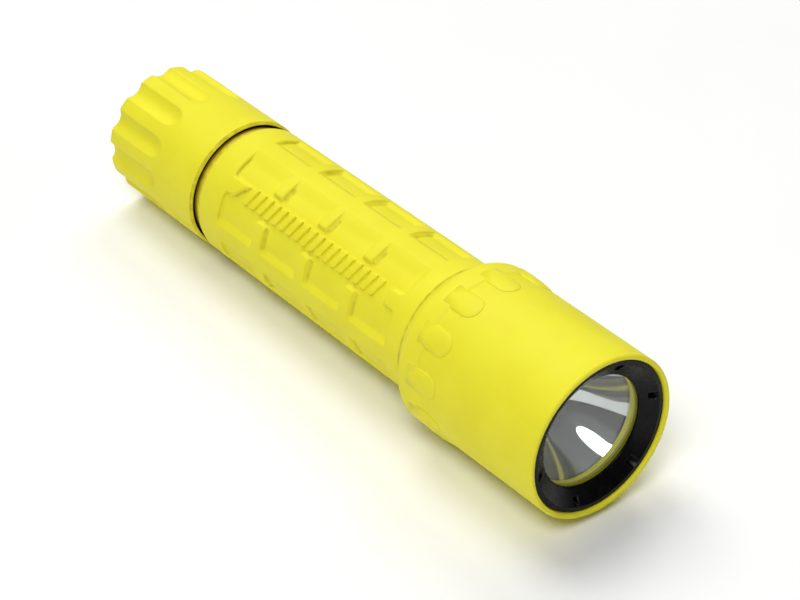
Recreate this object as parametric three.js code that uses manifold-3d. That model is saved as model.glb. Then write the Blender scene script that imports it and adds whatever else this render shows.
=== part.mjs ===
// A two-cell firefighter's torch with a moulded polymer body, lying along the X axis.
//
// The beam leaves along +X and +Z is up. The origin is under the middle of the torch, on the surface it
// lies on. Lengths are millimetres. Most pieces are turned about the X axis, so their outlines are lists
// of [back, radius]: how far a point lies behind the front rim, and how far from the axis.
// The body, the lamp module, the head and the tail cap are separate, with real screw threads between them.

import * as THREE from "three";
import { mergeVertices } from "three/addons/utils/BufferGeometryUtils.js";
import Module from "manifold-3d";

const wasm = await Module();
wasm.setup();

// ---- driving dimensions ----

const LENGTH = 132; // front rim to button top
const HEAD_RADIUS = 15.875; // the head is 1 1/4 inch across
const COLLAR_RADIUS = 16.15;
const LUG_RADIUS = 16.5;
const BARREL_FRONT_RADIUS = 13.35;
const BARREL_TAIL_RADIUS = 13.12;
const CAP_RADIUS = 13.27;

const HEAD_LENGTH = 36; // the head's rear face, behind the front rim
const BARREL_SHOULDER = 99.8; // where the body's outside ends
const CAP_EDGE = 101.3; // the cap's front edge, with the cap backed off a little
const CAP_REAR = 129.5; // the cap's rear face

const CELL_LENGTH = 34.5; // lithium cell, 17 mm x 34.5 mm
const CELL_RADIUS = 8.5;
const FRONT_CELL_START = 39; // tip of the front cell's terminal
const CELL_GAP = 0.1;

// rubber rings of round section, and the grooves in the body that two of them sit in
const HEAD_SEAL = { back: 34.95, radius: 13.75, section: 0.58 };
const HEAD_GROOVE = { front: 34.2, rear: 35.7, radius: 13.15 };
const TAIL_SEAL = { back: 102.4, radius: 11.92, section: 0.7 };
const TAIL_GROOVE = { front: 101.6, rear: 103.2, radius: 11.2 };
const TAIL_NECK = { radius: 12.2, rear: 104.4, rearRadius: 12.0 };
const LENS_SEAL = { back: 4.5, radius: 13.3, section: 0.32 };

const LENS = { front: 3.05, rear: 4.05, radius: 14.6, bevel: 0.2 };
const LENS_CLEARANCE = 0.1;

// springs, from one [back, radius] to another
const LAMP_OUTER_SPRING = { start: [29.0, 11.2], end: [26.1, 8.4], turns: 2.5, wire: 0.35 };
const LAMP_CENTRE_SPRING = { start: [38.9, 1.6], end: [35.7, 2.3], turns: 3, wire: 0.3, stepsPerTurn: 9 };
const TAIL_SPRING = { start: [115.8, 6.2], endRadius: 3.2, turns: 3.5, wire: 0.45 };

const THREAD_PITCH = 1.5;
const THREAD_ROOT_WIDTH = 0.95;
const THREAD_CREST_WIDTH = 0.35;
const THREAD_STEPS = 24; // steps in one turn of thread
const THREAD_EMBED = 0.3; // how far a ridge is let into its wall

const HEAD_THREAD = { root: 13.6, crest: 14.25, boreRoot: 14.45, boreCrest: 13.8 };
const TAIL_THREAD = { root: 11.4, crest: 12.05, boreRoot: 12.25, boreCrest: 11.6 };
const HEAD_THREAD_START = 33.6; // rear end of the body's front thread
const TAIL_THREAD_START = 110.6; // rear end of the body's tail thread

const LUGS = 12;
const LUG_PHASE = 9; // degrees from straight up, towards +Y
const POCKET_ROWS = 8;
const POCKET_PHASE = 20;
const POCKET_COLUMNS = 4;
const POCKET_PITCH = 13.28;
const FIRST_POCKET = 48.2; // middle of the front column
const POCKET_FLOOR = 12.6; // radius of the flat pocket floors
const FLUTES = 12;
const NOTCHES = 6;
const NOTCH_PHASE = 20.5;

const ROUND = 32; // sides of the large turned pieces
const SMALL_ROUND = 20; // sides of the small ones

// ---- finishes ----

const YELLOW = { color: 0xe8de3e, roughness: 0.55, metalness: 0 };
const BLACK_PLASTIC = { color: 0x17171a, roughness: 0.45, metalness: 0 };
const RUBBER = { color: 0x121212, roughness: 0.8, metalness: 0 };
const GLASS = { color: 0xf2f6f7, roughness: 0.03, metalness: 0 };
const MIRROR = { color: 0xdfe0e2, roughness: 0.08, metalness: 1 };
const ALUMINIUM = { color: 0xb9bbbe, roughness: 0.4, metalness: 1 };
const BRASS = { color: 0xc9a552, roughness: 0.35, metalness: 1 };
const STEEL = { color: 0xb4b6ba, roughness: 0.3, metalness: 1 };
const NYLON = { color: 0xe9e6da, roughness: 0.6, metalness: 0 };
const CELL_PAPER = { color: 0x3c4046, roughness: 0.5, metalness: 0 };
const CERAMIC = { color: 0xf0ece2, roughness: 0.7, metalness: 0 };

// ---- geometry helpers ----

const frontX = LENGTH / 2;

// A piece turned about the X axis. An outline that starts on the axis ends on it; any other closes on itself.
function turned(outline, sides = ROUND) {
  const points = outline.map(([back, radius]) => new THREE.Vector2(radius, frontX - back));
  if (THREE.ShapeUtils.area(points) < 0) points.reverse();
  if (outline[0][1] > 0) points.push(points[0].clone());
  return new THREE.LatheGeometry(points, sides).rotateZ(-Math.PI / 2);
}

// Turns a shape about the X axis, from straight up towards +Y.
function roundTo(geometry, degrees) {
  return geometry.rotateX(-THREE.MathUtils.degToRad(degrees));
}

function solidOf(geometry) {
  const bare = geometry.clone();
  bare.deleteAttribute("normal");
  bare.deleteAttribute("uv");
  const merged = mergeVertices(bare, 1e-4);
  const vertProperties = merged.getAttribute("position").array;
  const triVerts = Uint32Array.from(merged.index.array);
  return new wasm.Manifold(new wasm.Mesh({ numProp: 3, vertProperties, triVerts }));
}

function geometryOf(solid) {
  const mesh = solid.getMesh();
  const geometry = new THREE.BufferGeometry();
  geometry.setAttribute("position", new THREE.BufferAttribute(mesh.vertProperties, 3));
  geometry.setIndex(new THREE.BufferAttribute(mesh.triVerts, 1));
  geometry.computeVertexNormals();
  return geometry;
}

// Cuts, then joins, a list of shapes with one base shape.
function shaped(base, cuts, joins = []) {
  let solid = solidOf(base);
  for (const cut of cuts) solid = solid.subtract(solidOf(cut));
  for (const join of joins) solid = solid.add(solidOf(join));
  return geometryOf(solid);
}

// An outline in the plane that touches the cylinder, raised outwards from one radius to another.
// The outline's x is along the torch, measured forwards from `back`, and its y is across.
function raised(shape, back, innerRadius, outerRadius, degrees, curveSegments = 6) {
  const depth = outerRadius - innerRadius;
  const geometry = new THREE.ExtrudeGeometry(shape, { depth, bevelEnabled: false, curveSegments });
  geometry.translate(frontX - back, 0, innerRadius);
  return roundTo(geometry, degrees);
}

// A rectangle centred on the origin.
function rectangle(length, width) {
  const x = length / 2;
  const y = width / 2;
  return new THREE.Shape([
    new THREE.Vector2(-x, -y),
    new THREE.Vector2(x, -y),
    new THREE.Vector2(x, y),
    new THREE.Vector2(-x, y),
  ]);
}

// One right-handed ridge of thread, a long box wound round the axis. The ridge starts at `back` and runs
// forwards. Its ends fade into the wall. A ridge inside a bore has its crest nearer the axis than its wall.
function threadRidge(back, turns, wallRadius, crestRadius) {
  const steps = Math.round(turns * THREAD_STEPS);
  const outward = crestRadius > wallRadius;
  const buried = wallRadius + (outward ? -THREAD_EMBED : THREAD_EMBED);
  const fadeSteps = 4;
  const geometry = new THREE.BoxGeometry(steps, 1, 1, steps, 1, 1);
  const position = geometry.getAttribute("position");
  for (let i = 0; i < position.count; i++) {
    const step = position.getX(i) + steps / 2;
    const angle = (step / THREAD_STEPS) * 2 * Math.PI;
    const isCrest = position.getY(i) > 0 === outward;
    const fade = Math.min(1, Math.min(step, steps - step) / fadeSteps);
    const crest = THREE.MathUtils.lerp(wallRadius + (buried - wallRadius) / 3, crestRadius, fade);
    const radius = isCrest ? crest : buried;
    const width = isCrest ? THREAD_CREST_WIDTH : THREAD_ROOT_WIDTH;
    const x = frontX - back + (THREAD_PITCH * angle) / (2 * Math.PI) - position.getZ(i) * width;
    position.setXYZ(i, x, -radius * Math.sin(angle), radius * Math.cos(angle));
  }
  return geometry;
}

// A coil spring about the X axis. Its wire starts behind `start` and ends in front of `end`.
function coilSpring({ start, end, turns, wire: wireRadius, stepsPerTurn = 12 }) {
  const sides = 5;
  const spiral = new THREE.Curve();
  spiral.getPoint = (t) => {
    const angle = t * turns * 2 * Math.PI;
    const radius = THREE.MathUtils.lerp(start[1], end[1], t);
    const back = THREE.MathUtils.lerp(start[0] - wireRadius, end[0] + wireRadius, t);
    return new THREE.Vector3(frontX - back, -radius * Math.sin(angle), radius * Math.cos(angle));
  };
  const section = [];
  for (let i = 0; i < sides; i++) {
    const angle = (i / sides) * 2 * Math.PI;
    section.push(new THREE.Vector2(wireRadius * Math.cos(angle), wireRadius * Math.sin(angle)));
  }
  const steps = Math.round(turns * stepsPerTurn);
  return new THREE.ExtrudeGeometry(new THREE.Shape(section), { steps, extrudePath: spiral });
}

// A rubber ring of round section about the X axis.
function rubberRing({ back, radius, section }) {
  const corners = 6;
  const outline = [];
  for (let i = 0; i < corners; i++) {
    const angle = (i / corners) * 2 * Math.PI;
    outline.push([back + section * Math.cos(angle), radius + section * Math.sin(angle)]);
  }
  return turned(outline);
}

function piece(name, geometry, finish) {
  const mesh = new THREE.Mesh(geometry, new THREE.MeshStandardMaterial(finish));
  mesh.name = name;
  return mesh;
}

// ---- the body ----

function pocketCuts() {
  const pocket = { length: 10.4, width: 6.7 };
  const cuts = [];
  for (let row = 0; row < POCKET_ROWS; row++) {
    const degrees = POCKET_PHASE + (row * 360) / POCKET_ROWS;
    for (let column = 0; column < POCKET_COLUMNS; column++) {
      const shape = rectangle(pocket.length, pocket.width);
      const back = FIRST_POCKET + column * POCKET_PITCH;
      cuts.push(raised(shape, back, POCKET_FLOOR, BARREL_FRONT_RADIUS + 1, degrees));
    }
  }
  return cuts;
}

// The long recess between two rows of pockets.
function stripCut() {
  const strip = { start: 46.5, end: 89.5, width: 5.6, degrees: -47.5 };
  const shape = rectangle(strip.end - strip.start, strip.width);
  const middle = (strip.start + strip.end) / 2;
  return raised(shape, middle, POCKET_FLOOR, BARREL_FRONT_RADIUS + 1, strip.degrees);
}

function bodyShell() {
  const bore = 9.5;
  const nose = 29.6;
  const flareRadius = 15.5;
  const flareEnd = 38.6;
  const tailEnd = 112.4;
  const outline = [
    [nose, bore],
    [nose, HEAD_THREAD.root - 0.5],
    [nose + 0.5, HEAD_THREAD.root],
    [HEAD_GROOVE.front, HEAD_THREAD.root],
    [HEAD_GROOVE.front, HEAD_GROOVE.radius],
    [HEAD_GROOVE.rear, HEAD_GROOVE.radius],
    [HEAD_GROOVE.rear, HEAD_THREAD.root],
    [HEAD_LENGTH + 0.15, HEAD_THREAD.root],
    [HEAD_LENGTH + 0.15, flareRadius - 0.1],
    [HEAD_LENGTH + 0.5, flareRadius],
    [flareEnd, BARREL_FRONT_RADIUS],
    [BARREL_SHOULDER - 1.1, BARREL_TAIL_RADIUS],
    [BARREL_SHOULDER - 0.35, BARREL_TAIL_RADIUS - 0.3],
    [BARREL_SHOULDER, TAIL_NECK.radius],
    [TAIL_GROOVE.front, TAIL_NECK.radius],
    [TAIL_GROOVE.front, TAIL_GROOVE.radius],
    [TAIL_GROOVE.rear, TAIL_GROOVE.radius],
    [TAIL_GROOVE.rear, TAIL_NECK.rearRadius],
    [TAIL_NECK.rear, TAIL_NECK.rearRadius],
    [TAIL_NECK.rear, TAIL_THREAD.root],
    [tailEnd - 0.6, TAIL_THREAD.root],
    [tailEnd, TAIL_THREAD.root - 0.6],
    [tailEnd, bore],
  ];
  const frontThread = threadRidge(HEAD_THREAD_START, 2.5, HEAD_THREAD.root, HEAD_THREAD.crest);
  const tailThread = threadRidge(TAIL_THREAD_START, 3.5, TAIL_THREAD.root, TAIL_THREAD.crest);
  return shaped(turned(outline), [...pocketCuts(), stripCut()], [frontThread, tailThread]);
}

// A tube round the cells, with a flange on its rear end.
function contactSleeve() {
  const inside = 8.9;
  const outside = 9.35;
  const front = 29.2;
  const flange = { front: 112.55, rear: 113.0, radius: 11.1 };
  return turned([
    [front, inside],
    [front, outside],
    [flange.front, outside],
    [flange.front, flange.radius],
    [flange.rear, flange.radius],
    [flange.rear, inside],
  ]);
}

function frontContactRing() {
  return turned([
    [29.1, 9.45],
    [29.1, 12.6],
    [29.5, 12.6],
    [29.5, 9.45],
  ]);
}

// ---- the cells ----

function cell(name, start) {
  const top = start + 1;
  const end = start + CELL_LENGTH - CELL_GAP;
  const wrapInside = CELL_RADIUS - 0.15;
  const canRadius = wrapInside - 0.05;
  const recess = 6.4;
  const can = turned(
    [
      [end, 0],
      [end, canRadius - 0.4],
      [end - 0.4, canRadius],
      [top + 0.2, canRadius],
      [top, canRadius - 0.2],
      [top, recess],
      [top + 0.9, recess],
      [top + 0.9, 0],
    ],
    SMALL_ROUND,
  );
  const wrap = turned(
    [
      [top + 0.4, wrapInside],
      [top + 0.4, CELL_RADIUS],
      [end - 0.5, CELL_RADIUS],
      [end - 0.5, wrapInside],
    ],
    SMALL_ROUND,
  );
  const seal = turned(
    [
      [top, 3.4],
      [top, recess - 0.15],
      [top + 0.8, recess - 0.15],
      [top + 0.8, 3.4],
    ],
    SMALL_ROUND,
  );
  const terminal = turned(
    [
      [start, 0],
      [start, 2.9],
      [start + 0.3, 3.25],
      [top + 0.8, 3.25],
      [top + 0.8, 0],
    ],
    SMALL_ROUND,
  );
  return [
    piece(name + "_can", can, STEEL),
    piece(name + "_wrap", wrap, CELL_PAPER),
    piece(name + "_seal", seal, BLACK_PLASTIC),
    piece(name + "_terminal", terminal, STEEL),
  ];
}

// ---- the lamp module ----

const reflectorBowl = { mouth: 5.2, mouthRadius: 12.65, vertex: 17, neckRadius: 3.4, neckEnd: 24.6 };

// The bowl is a parabola, so its radius grows as the square root of the depth from its vertex. The lamp's
// filament is at its focus.
function bowlOutline() {
  const { mouth, mouthRadius, vertex, neckRadius } = reflectorBowl;
  const steps = 6;
  const outline = [];
  for (let i = 0; i <= steps; i++) {
    const radius = THREE.MathUtils.lerp(mouthRadius, neckRadius, i / steps);
    const back = vertex - (vertex - mouth) * (radius / mouthRadius) ** 2;
    outline.push([back, radius]);
  }
  return outline;
}

function reflector() {
  const { mouth, neckRadius, neckEnd } = reflectorBowl;
  const neckOutside = 5.2;
  const rim = { rear: 6.4, radius: 13.4 };
  return turned([
    ...bowlOutline(),
    [neckEnd, neckRadius],
    [neckEnd, neckOutside],
    [17.4, neckOutside],
    [14.6, 7.9],
    [11.6, 10.3],
    [8.6, 12.2],
    [rim.rear, rim.radius],
    [mouth, rim.radius],
  ]);
}

function bulbEnvelope() {
  const tip = 10.4;
  const base = 20.9;
  const outside = 2.6;
  const inside = 2.15;
  return turned(
    [
      [tip, 0],
      [tip + 0.2, 1.1],
      [tip + 1.0, 2.1],
      [tip + 2.2, outside],
      [base, outside],
      [base, inside],
      [tip + 2.3, inside],
      [tip + 1.3, 1.7],
      [tip + 0.7, 0.9],
      [tip + 0.55, 0],
    ],
    SMALL_ROUND,
  );
}

function bulbBase() {
  return turned(
    [
      [21, 0],
      [21, 3.05],
      [32.9, 3.05],
      [32.9, 0],
    ],
    SMALL_ROUND,
  );
}

// Two posts with the coiled wire between their tips.
function filament() {
  const post = { thickness: 0.35, spread: 1.1, foot: 20.95, tip: 13.7 };
  const postLength = post.foot - post.tip;
  const leg = (side) => {
    const box = new THREE.BoxGeometry(postLength, post.thickness, post.thickness);
    return box.translate(frontX - (post.foot + post.tip) / 2, side * post.spread, 0);
  };
  const coil = new THREE.CylinderGeometry(0.3, 0.3, 2 * post.spread, 8);
  coil.translate(frontX - post.tip, 0, 0);
  return shaped(coil, [], [leg(-1), leg(1)]);
}

function lampHousing() {
  return turned(
    [
      [24.9, 3.25],
      [24.9, 9.3],
      [26.0, 9.3],
      [26.0, 7.2],
      [33.0, 7.2],
      [33.0, 3.25],
    ],
    SMALL_ROUND,
  );
}

function lampInsulator() {
  return turned(
    [
      [33.15, 1.8],
      [33.15, 6.9],
      [34.9, 6.9],
      [34.9, 1.8],
    ],
    SMALL_ROUND,
  );
}

function lampContact() {
  return turned(
    [
      [33.2, 0],
      [33.2, 1.6],
      [35.0, 1.6],
      [35.0, 3.0],
      [35.6, 3.0],
      [35.6, 0],
    ],
    SMALL_ROUND,
  );
}

// ---- the head ----

// A grip lug: square at its rear end, half round at its front end.
function lug(degrees) {
  const width = 4.7;
  const rear = 32.9;
  const front = 25.4;
  const half = width / 2;
  const shape = new THREE.Shape();
  shape.moveTo(0, -half);
  shape.lineTo(rear - front - half, -half);
  shape.absarc(rear - front - half, 0, half, -Math.PI / 2, Math.PI / 2, false);
  shape.lineTo(0, half);
  const chordRadius = Math.sqrt(LUG_RADIUS ** 2 - half ** 2);
  return raised(shape, rear, 15.2, chordRadius, degrees, 3);
}

function bezelShell() {
  const pocketBore = 14.85;
  const window = { rear: 5.1, radius: 10.95 };
  const moduleBore = 13.55;
  const collarFront = 30.9;
  const seat = LENS.rear + LENS_CLEARANCE;
  const groove = { rear: 4.85, inner: 12.85, outer: 13.75 };
  const outline = [
    [0, 15.05],
    [0, 15.6],
    [0.3, HEAD_RADIUS],
    [collarFront, HEAD_RADIUS],
    [collarFront + 0.05, COLLAR_RADIUS],
    [35.2, COLLAR_RADIUS],
    [35.8, COLLAR_RADIUS - 0.25],
    [HEAD_LENGTH, COLLAR_RADIUS - 0.65],
    [HEAD_LENGTH, HEAD_THREAD.boreRoot],
    [29.1, HEAD_THREAD.boreRoot],
    [28.4, moduleBore],
    [window.rear, moduleBore],
    [window.rear, window.radius],
    [seat, window.radius],
    [seat, groove.inner],
    [groove.rear, groove.inner],
    [groove.rear, groove.outer],
    [seat, groove.outer],
    [seat, pocketBore],
    [0.4, pocketBore],
  ];
  const lugs = [];
  for (let i = 0; i < LUGS; i++) lugs.push(lug(LUG_PHASE + (i * 360) / LUGS));
  const start = HEAD_THREAD_START - THREAD_PITCH / 2;
  const thread = threadRidge(start, 1.5, HEAD_THREAD.boreRoot, HEAD_THREAD.boreCrest);
  return shaped(turned(outline), [], [...lugs, thread]);
}

// The screwed ring that holds the lens, with notches for a pin spanner.
function retainingRing() {
  const notch = { width: 1.3, inner: 12.3, outer: 13.95, front: 0.4, rear: 2.2 };
  const face = 0.6;
  const rear = LENS.front - LENS_CLEARANCE;
  const outside = 14.68;
  const window = 10.85;
  const ring = turned([
    [face, outside],
    [face, 13.75],
    [face + 0.15, 13.55],
    [rear - 0.6, window + 0.3],
    [rear - 0.35, window],
    [rear, window],
    [rear, outside],
  ]);
  const cuts = [];
  for (let i = 0; i < NOTCHES; i++) {
    const box = new THREE.BoxGeometry(notch.rear - notch.front, notch.width, notch.outer - notch.inner);
    box.translate(frontX - (notch.front + notch.rear) / 2, 0, (notch.outer + notch.inner) / 2);
    cuts.push(roundTo(box, NOTCH_PHASE + (i * 360) / NOTCHES));
  }
  return shaped(ring, cuts);
}

function lens() {
  const { front, rear, radius, bevel } = LENS;
  return turned([
    [front, 0],
    [front, radius - bevel],
    [front + bevel, radius],
    [rear - bevel, radius],
    [rear, radius - bevel],
    [rear, 0],
  ]);
}

// ---- the tail cap ----

// A round-bottomed cutter that runs in from behind the cap and ends in a blunt nose.
function fluteCut(degrees) {
  const flute = { front: 113.9, radius: 2.25, depth: 0.95 };
  const cutter = turned(
    [
      [flute.front, 0],
      [flute.front + 0.4, 1.3],
      [flute.front + 1.6, flute.radius],
      [CAP_REAR + 3, flute.radius],
      [CAP_REAR + 3, 0],
    ],
    12,
  );
  cutter.translate(0, 0, CAP_RADIUS - flute.depth + flute.radius);
  return roundTo(cutter, degrees);
}

function capShell() {
  const mouth = { radius: 12.72, rear: 104.2 };
  const cavity = { front: 113.9, rear: 126.55, radius: 10.6 };
  const buttonHole = { front: 128.6, radius: 6.6 };
  const outline = [
    [CAP_EDGE, mouth.radius],
    [CAP_EDGE, mouth.radius + 0.18],
    [CAP_EDGE + 0.55, CAP_RADIUS],
    [CAP_REAR - 1.7, CAP_RADIUS],
    [CAP_REAR - 0.7, CAP_RADIUS - 0.35],
    [CAP_REAR - 0.2, CAP_RADIUS - 0.9],
    [CAP_REAR, CAP_RADIUS - 1.6],
    [CAP_REAR, buttonHole.radius + 1.6],
    [buttonHole.front, buttonHole.radius + 1.0],
    [buttonHole.front, buttonHole.radius],
    [cavity.rear, buttonHole.radius],
    [cavity.rear, cavity.radius],
    [cavity.front, cavity.radius],
    [cavity.front, TAIL_THREAD.boreRoot],
    [mouth.rear + 0.4, TAIL_THREAD.boreRoot],
    [mouth.rear, mouth.radius],
  ];
  const cuts = [];
  for (let i = 0; i < FLUTES; i++) cuts.push(fluteCut((i * 360) / FLUTES));
  const start = TAIL_THREAD_START - 1.5 * THREAD_PITCH;
  const thread = threadRidge(start, 1.5, TAIL_THREAD.boreRoot, TAIL_THREAD.boreCrest);
  return shaped(turned(outline), cuts, [thread]);
}

// The rubber button: a dome through the cap's rear wall on a flange clamped inside it.
function buttonBoot() {
  return turned(
    [
      [LENGTH, 0],
      [131.7, 3.0],
      [130.9, 5.2],
      [129.6, 6.2],
      [126.45, 6.3],
      [126.45, 10.3],
      [125.45, 10.3],
      [125.45, 5.6],
      [130.0, 5.6],
      [130.8, 4.6],
      [130.95, 0],
    ],
    SMALL_ROUND,
  );
}

function bootClampRing() {
  return turned(
    [
      [123.7, 7.4],
      [123.7, 10.35],
      [125.3, 10.35],
      [125.3, 7.4],
    ],
    SMALL_ROUND,
  );
}

function plunger() {
  return turned(
    [
      [116.65, 0],
      [116.65, 4.6],
      [125.2, 4.6],
      [125.5, 5.3],
      [129.6, 5.3],
      [130.5, 4.4],
      [130.7, 0],
    ],
    SMALL_ROUND,
  );
}

// The plunger slides in this bush, which moves along with the cap but doesn't turn with it.
function switchBush() {
  return turned(
    [
      [118.1, 4.9],
      [118.1, 10.2],
      [123.5, 10.2],
      [123.5, 4.9],
    ],
    SMALL_ROUND,
  );
}

// A dished plate whose rim meets the end of the contact sleeve.
function contactDisc() {
  return turned(
    [
      [115.9, 0],
      [115.9, 9.2],
      [115.6, 9.3],
      [115.6, 10.0],
      [116.1, 10.1],
      [116.5, 9.8],
      [116.5, 0],
    ],
    SMALL_ROUND,
  );
}

// ---- the assembly ----

const rearCellStart = FRONT_CELL_START + CELL_LENGTH;
const cellEnd = rearCellStart + CELL_LENGTH - CELL_GAP;
const tailSpring = { ...TAIL_SPRING, end: [cellEnd + 0.1, TAIL_SPRING.endRadius] };

const body = new THREE.Group();
body.add(
  piece("barrel_shell", bodyShell(), YELLOW),
  piece("contact_sleeve", contactSleeve(), ALUMINIUM),
  piece("front_contact_ring", frontContactRing(), BRASS),
  piece("head_seal_ring", rubberRing(HEAD_SEAL), RUBBER),
  piece("tail_seal_ring", rubberRing(TAIL_SEAL), RUBBER),
  ...cell("front_cell", FRONT_CELL_START),
  ...cell("rear_cell", rearCellStart),
);

const lampModule = new THREE.Group();
lampModule.add(
  piece("reflector", reflector(), MIRROR),
  piece("bulb_envelope", bulbEnvelope(), GLASS),
  piece("bulb_base", bulbBase(), CERAMIC),
  piece("filament", filament(), STEEL),
  piece("lamp_housing", lampHousing(), BRASS),
  piece("lamp_insulator", lampInsulator(), NYLON),
  piece("lamp_contact", lampContact(), BRASS),
  piece("lamp_outer_spring", coilSpring(LAMP_OUTER_SPRING), STEEL),
  piece("lamp_centre_spring", coilSpring(LAMP_CENTRE_SPRING), STEEL),
);

const head = new THREE.Group();
head.add(
  piece("bezel_shell", bezelShell(), YELLOW),
  piece("retaining_ring", retainingRing(), BLACK_PLASTIC),
  piece("lens", lens(), GLASS),
  piece("lens_gasket", rubberRing(LENS_SEAL), RUBBER),
);

const tail = new THREE.Group();
tail.add(
  piece("tail_cap_shell", capShell(), YELLOW),
  piece("boot_clamp_ring", bootClampRing(), NYLON),
  piece("button_boot", buttonBoot(), RUBBER),
  piece("plunger", plunger(), BLACK_PLASTIC),
  piece("switch_bush", switchBush(), NYLON),
  piece("contact_disc", contactDisc(), BRASS),
  piece("tail_spring", coilSpring(tailSpring), STEEL),
);

const torch = new THREE.Group();
torch.add(body, lampModule, head, tail);

// The torch lies on its lowest grip lug.
torch.position.z = -new THREE.Box3().setFromObject(torch).min.z;

export default torch;
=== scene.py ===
"""The looks of a firefighter's torch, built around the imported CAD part.

Lengths in the tables are millimetres. An outline point is (back, radius) or (back, radius, corner): how far
it lies behind the front rim, how far from the axis, and how far the corner there is rounded. Angles are
degrees round the axis, from straight up towards +Y.
"""

import math

import bpy
import numpy as np
from mathutils import Matrix, Vector


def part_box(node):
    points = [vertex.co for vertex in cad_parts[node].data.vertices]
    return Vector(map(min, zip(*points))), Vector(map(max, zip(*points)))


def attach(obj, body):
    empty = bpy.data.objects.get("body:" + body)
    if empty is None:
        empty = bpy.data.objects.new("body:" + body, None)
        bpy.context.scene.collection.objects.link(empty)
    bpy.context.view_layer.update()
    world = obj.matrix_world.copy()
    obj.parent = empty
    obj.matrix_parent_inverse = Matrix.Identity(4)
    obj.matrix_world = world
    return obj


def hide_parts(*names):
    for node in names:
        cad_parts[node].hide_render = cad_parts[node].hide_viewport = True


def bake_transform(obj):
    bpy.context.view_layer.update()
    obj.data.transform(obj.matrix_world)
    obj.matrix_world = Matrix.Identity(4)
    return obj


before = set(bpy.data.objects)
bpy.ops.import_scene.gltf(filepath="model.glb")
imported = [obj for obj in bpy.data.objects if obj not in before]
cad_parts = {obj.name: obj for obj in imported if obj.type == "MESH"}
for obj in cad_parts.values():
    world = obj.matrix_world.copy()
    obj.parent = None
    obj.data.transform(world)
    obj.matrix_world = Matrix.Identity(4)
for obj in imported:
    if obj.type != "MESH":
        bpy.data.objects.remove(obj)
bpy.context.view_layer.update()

# ---- the frame ----

MM = 0.001
bezel_low, bezel_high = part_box("bezel_shell")
FRONT_X = bezel_high.x
AXIS_Z = (bezel_low.z + bezel_high.z) / 2

ROUND = 160  # sides of a large turned piece
SMALL_ROUND = 72
THREAD_PITCH = 1.5


def point(back, radius, angle):
    """Points in metres. The angle is in radians."""
    back, radius, angle = np.broadcast_arrays(back, radius, angle)
    x = FRONT_X - back * MM
    y = radius * np.sin(angle) * MM
    z = AXIS_Z + radius * np.cos(angle) * MM
    return np.stack([x, y, z], axis=-1)


# ---- outlines ----


def rounded(outline, corner=0.15, steps=4, closed=True):
    """The outline with its corners turned into arcs. Gives (back, radius, wear and shade) rows, with 1, for
    wear, on an outer corner, -1, for painted shade, on an inner one and 0 between."""
    pts = [(p[0], p[1], p[2] if len(p) > 2 else corner) for p in outline]
    flat = np.array([(p[0], p[1]) for p in pts])
    nxt = np.roll(flat, -1, axis=0)
    area = float(np.sum(flat[:, 0] * nxt[:, 1] - nxt[:, 0] * flat[:, 1])) / 2
    count = len(pts)
    rows = []
    for i, (back, radius, size) in enumerate(pts):
        here = flat[i]
        if not closed and i in (0, count - 1):
            rows.append((back, radius, 0.0))
            continue
        before = flat[i - 1] - here
        after = flat[(i + 1) % count] - here
        la, lb = np.linalg.norm(before), np.linalg.norm(after)
        ua, ub = before / la, after / lb
        turn = math.pi - math.acos(max(-1.0, min(1.0, float(ua @ ub))))
        if turn < math.radians(4) or size <= 0:
            rows.append((back, radius, 0.0))
            continue
        reach = min(size * math.tan(turn / 2), 0.42 * la, 0.42 * lb)
        arc = reach / math.tan(turn / 2)
        side = ub + ua
        centre = here + side / np.linalg.norm(side) * arc / math.cos(turn / 2)
        start = here + ua * reach
        end = here + ub * reach
        cross = -ua[0] * ub[1] + ua[1] * ub[0]
        wear_and_shade = 1.0 if cross * area > 0 else -1.0
        spare = 0.35 * reach
        if la > 3 * reach:
            rows.append((*(start + ua * spare), 0.0))
        a0 = start - centre
        a1 = end - centre
        for k in range(steps + 1):
            t = k / steps
            w0 = math.sin((1 - t) * turn) / math.sin(turn)
            w1 = math.sin(t * turn) / math.sin(turn)
            spot = centre + a0 * w0 + a1 * w1
            rows.append((*spot, wear_and_shade * math.sin(math.pi * t)))
        if lb > 3 * reach:
            rows.append((*(end + ub * spare), 0.0))
    return rows


def refined(rows, lines, low, high, closed=True):
    """Rows with more of them put in, at the given backs, wherever the outline runs between low and high."""
    out = []
    count = len(rows)
    for i, row in enumerate(rows):
        out.append(row)
        if i == count - 1 and not closed:
            break
        to = rows[(i + 1) % count]
        if not (low[0] <= min(row[0], to[0]) and max(row[0], to[0]) <= high[0]):
            continue
        if min(row[1], to[1]) < low[1] or max(row[1], to[1]) > high[1]:
            continue
        span = to[0] - row[0]
        inside = [x for x in lines if min(row[0], to[0]) + 0.02 < x < max(row[0], to[0]) - 0.02]
        for x in sorted(inside, reverse=bool(span < 0)):
            t = (x - row[0]) / span
            out.append(tuple(a + (b - a) * t for a, b in zip(row, to)))
    return out


def lines_between(low, high, spacing):
    """Values from low to high, each step as long as spacing says there."""
    values = [low]
    while values[-1] < high:
        values.append(values[-1] + spacing(values[-1]))
    values[-1] = high
    return values


# ---- meshes ----


def quads_over(index):
    """The faces between rows of points, each row closed round on itself."""
    loop = np.concatenate([index, index[:, :1]], axis=1)
    quads = np.stack([loop[:-1, :-1], loop[1:, :-1], loop[1:, 1:], loop[:-1, 1:]], axis=-1)
    return quads.reshape(-1, 4).tolist()


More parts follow.
